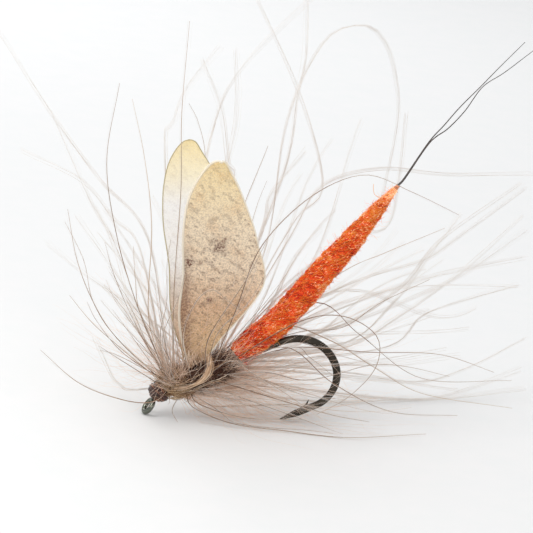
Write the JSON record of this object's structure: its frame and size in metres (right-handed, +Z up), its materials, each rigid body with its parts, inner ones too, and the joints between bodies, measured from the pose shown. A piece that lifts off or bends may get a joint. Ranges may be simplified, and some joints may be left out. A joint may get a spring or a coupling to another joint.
{
  "type": "dry fly",
  "caption": "Mayfly dry fly on a forged hook, with upright mottled wings, an orange body that stands off the shank, dark tails and a long hair hackle.",
  "frame": {"origin": "centre of the hook's ring eye", "axes": "+X from the eye towards the bend, +Z up as the fly stands on its eye and hook point, and -Y is the fly's left side"},
  "size_m": [0.043, 0.017, 0.0316],
  "materials": {
    "hook_wire": "bronzed, glossy",
    "thread": "waxed thread",
    "head_thread": "varnished thread",
    "collar_fur": "loose fur dubbing",
    "thorax_fur": "loose fur dubbing",
    "thorax_rear_fur": "loose fur dubbing",
    "wing_stem": "pale horny stem",
    "body_dubbing": "tight sparkling dubbing",
    "body_thread": "thread",
    "tail": "satin fibre",
    "wing": "mottled translucent leaf",
    "hackle": "fine hair"
  },
  "bodies": {
    "hook_body": {"hook": "hook_wire", "thread_base": "thread", "head_wraps": "head_thread", "whip_finish": "head_thread", "collar_dubbing": "collar_fur", "thorax_front": "thorax_fur", "wing_wraps": "thread", "thorax_rear": "thorax_rear_fur", "left_wing_stem": "wing_stem", "right_wing_stem": "wing_stem", "abdomen_root": "body_dubbing", "hackle_fan_1": "hackle", "hackle_fan_2": "hackle", "hackle_fan_3": "hackle", "hackle_fan_4": "hackle", "hackle_fan_5": "hackle", "hackle_fan_6": "hackle", "hackle_fan_7": "hackle", "hackle_fan_8": "hackle", "hackle_fan_9": "hackle", "hackle_brow": "hackle", "hackle_crown_1": "hackle", "hackle_crown_2": "hackle", "hackle_crown_3": "hackle", "hackle_crown_4": "hackle", "hackle_crown_5": "hackle", "hackle_back_1": "hackle", "hackle_back_2": "hackle", "hackle_back_3": "hackle", "hackle_back_4": "hackle", "hackle_back_5": "hackle", "hackle_back_6": "hackle", "hackle_back_7": "hackle", "hackle_sweep_1": "hackle", "hackle_sweep_2": "hackle", "hackle_sweep_3": "hackle", "hackle_sweep_4": "hackle", "hackle_sweep_5": "hackle", "hackle_sweep_6": "hackle", "hackle_low_1": "hackle", "hackle_low_2": "hackle", "hackle_low_3": "hackle", "hackle_prop_1": "hackle", "hackle_prop_2": "hackle", "hackle_prop_3": "hackle", "hackle_prop_4": "hackle"},
    "abdomen_body": {"abdomen": "body_dubbing", "tail_wraps": "body_thread"},
    "tails": {"tail_left": "tail", "tail_right": "tail"},
    "left_wing_body": {"left_wing": "wing"},
    "right_wing_body": {"right_wing": "wing"}
  },
  "joints": [
    {"name": "left_wing_flex", "type": "hinge", "parent": "hook_body", "child": "left_wing_body", "pos_m": [0.0031, -0.00032, 0.00385], "axis": [0.9042, 0, 0.4271], "range_deg": [-8, 45], "stiffness_Nm_per_rad": 0.0001},
    {"name": "right_wing_flex", "type": "hinge", "parent": "hook_body", "child": "right_wing_body", "pos_m": [0.0031, 0.00032, 0.00385], "axis": [-0.9042, 0, -0.4271], "range_deg": [-8, 45], "stiffness_Nm_per_rad": 0.0001},
    {"name": "abdomen_flex", "type": "hinge", "parent": "hook_body", "child": "abdomen_body", "pos_m": [0.00945, 0, 0.00735], "axis": [0, 1, 0], "range_deg": [-15, 15], "stiffness_Nm_per_rad": 0.0002},
    {"name": "tails_flex", "type": "hinge", "parent": "abdomen_body", "child": "tails", "pos_m": [0.01742, 0, 0.01878], "axis": [0, 1, 0], "range_deg": [-20, 20], "stiffness_Nm_per_rad": 0.00001}
  ]
}
